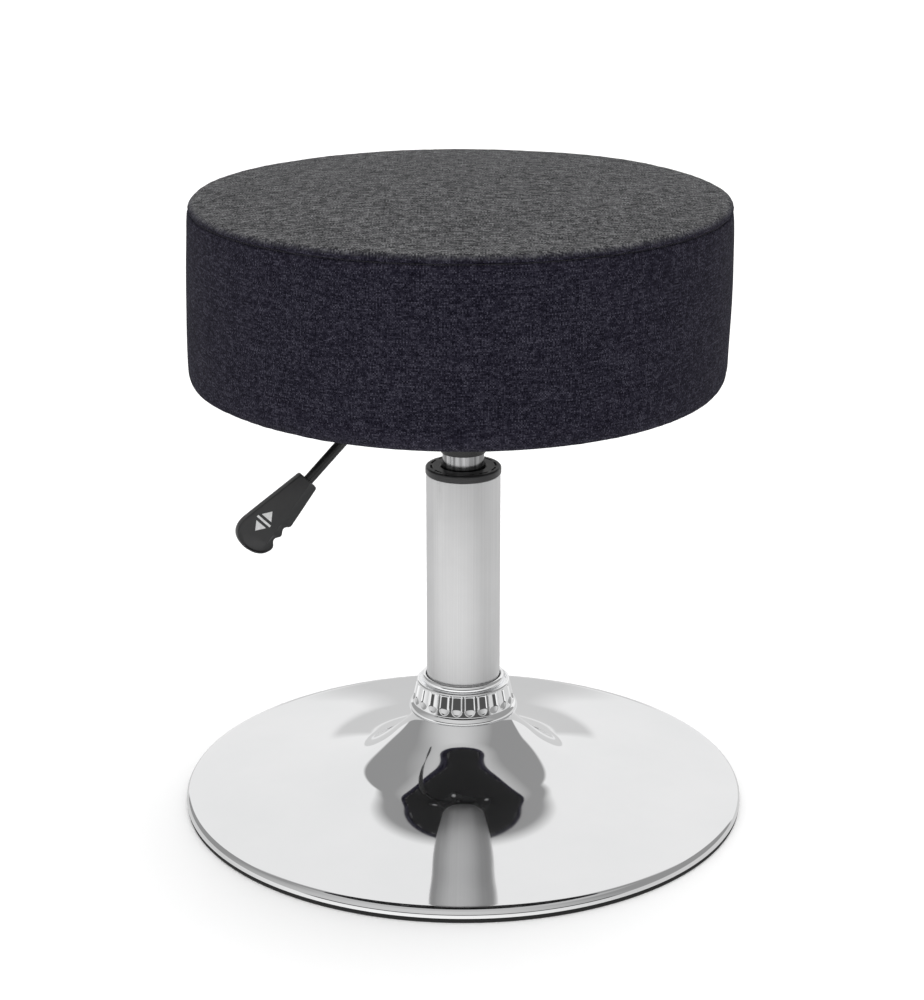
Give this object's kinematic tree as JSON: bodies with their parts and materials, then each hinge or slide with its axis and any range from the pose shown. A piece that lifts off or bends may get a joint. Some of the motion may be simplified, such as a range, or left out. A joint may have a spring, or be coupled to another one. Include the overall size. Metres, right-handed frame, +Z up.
{
  "type": "adjustable swivel stool",
  "caption": "Round upholstered stool on a gas lift: the seat swivels on a plated column and round trumpet base, and a side lever releases its height.",
  "frame": {"origin": "centre of the base on the floor, on the column's axis", "axes": "+Z up along the column; the lever points 20 degrees in front of -X; -Y is the front; the seat at its lowest height"},
  "size_m": [0.385, 0.385, 0.427],
  "materials": {
    "chrome": "bright mirror plating",
    "satin_steel": "satin plated tube",
    "steel": "ground or bright drawn steel",
    "black_steel": "black powder coat",
    "black_plastic": "moulded black plastic, half gloss",
    "pale_plastic": "natural acetal",
    "rubber": "matt black rubber",
    "plywood": "raw birch plywood",
    "foam": "open-cell seat foam",
    "fabric": "dark charcoal linen-look weave with lighter slubs",
    "lining": "black spun-bonded dust cover"
  },
  "bodies": {
    "base": {"base_shell": "chrome", "base_rubber_ring": "rubber", "base_hub_tube": "steel", "base_support_plate": "steel", "trim_collar": "chrome", "column_tube": "satin_steel", "column_end_plate": "steel", "guide_bush": "pale_plastic", "column_cap": "black_plastic", "lower_race": "steel"},
    "cage": {"ball_cage": "pale_plastic", "bearing_ball_1": "steel", "bearing_ball_2": "steel", "bearing_ball_3": "steel", "bearing_ball_4": "steel", "bearing_ball_5": "steel", "bearing_ball_6": "steel", "bearing_ball_7": "steel", "bearing_ball_8": "steel"},
    "spindle": {"upper_race": "steel", "piston_rod": "steel", "retaining_clip": "steel", "rod_washer": "steel", "rubber_buffer": "rubber", "piston": "steel", "piston_seal": "rubber"},
    "seat": {"gas_cylinder": "steel", "rod_guide": "pale_plastic", "rod_seal": "rubber", "valve_body": "steel", "taper_socket": "black_steel", "seat_plate": "black_steel", "mechanism_housing": "black_steel", "pivot_pin": "steel", "seat_bolt_1": "steel", "seat_bolt_2": "steel", "seat_bolt_3": "steel", "seat_bolt_4": "steel", "bolt_washer_1": "steel", "bolt_washer_2": "steel", "bolt_washer_3": "steel", "bolt_washer_4": "steel", "t_nut_1": "steel", "t_nut_2": "steel", "t_nut_3": "steel", "t_nut_4": "steel", "seat_board": "plywood", "dust_cover": "lining", "seat_foam": "foam", "seat_cover_side": "fabric", "seat_cover_top": "fabric"},
    "lever": {"lever_yoke": "black_steel", "lever_rod": "black_steel", "lever_handle": "black_plastic"},
    "pin": {"release_pin": "steel"}
  },
  "joints": [
    {"name": "seat_swivel", "type": "hinge", "parent": "base", "child": "spindle", "pos_m": [0, 0, 0.0216], "axis": [0, 0, 1], "continuous": true},
    {"name": "cage_turn", "type": "hinge", "parent": "base", "child": "cage", "pos_m": [0, 0, 0.0216], "axis": [0, 0, 1], "continuous": true},
    {"name": "seat_lift", "type": "slide", "parent": "spindle", "child": "seat", "axis": [0, 0, 1], "range_m": [0, 0.12]},
    {"name": "lever_lift", "type": "hinge", "parent": "seat", "child": "lever", "pos_m": [-0.02255, -0.00821, 0.2767], "axis": [-0.342, 0.9397, 0], "range_deg": [0, 8], "stiffness_Nm_per_rad": 0.8, "springref_deg": -5.73},
    {"name": "pin_press", "type": "slide", "parent": "seat", "child": "pin", "axis": [0, 0, -1], "range_m": [0, 0.0036]}
  ],
  "couplings": [
    {"joint": "cage_turn", "follows": "seat_swivel", "ratio": 0.5},
    {"joint": "pin_press", "follows": "lever_lift", "m_per_rad": 0.0255}
  ]
}
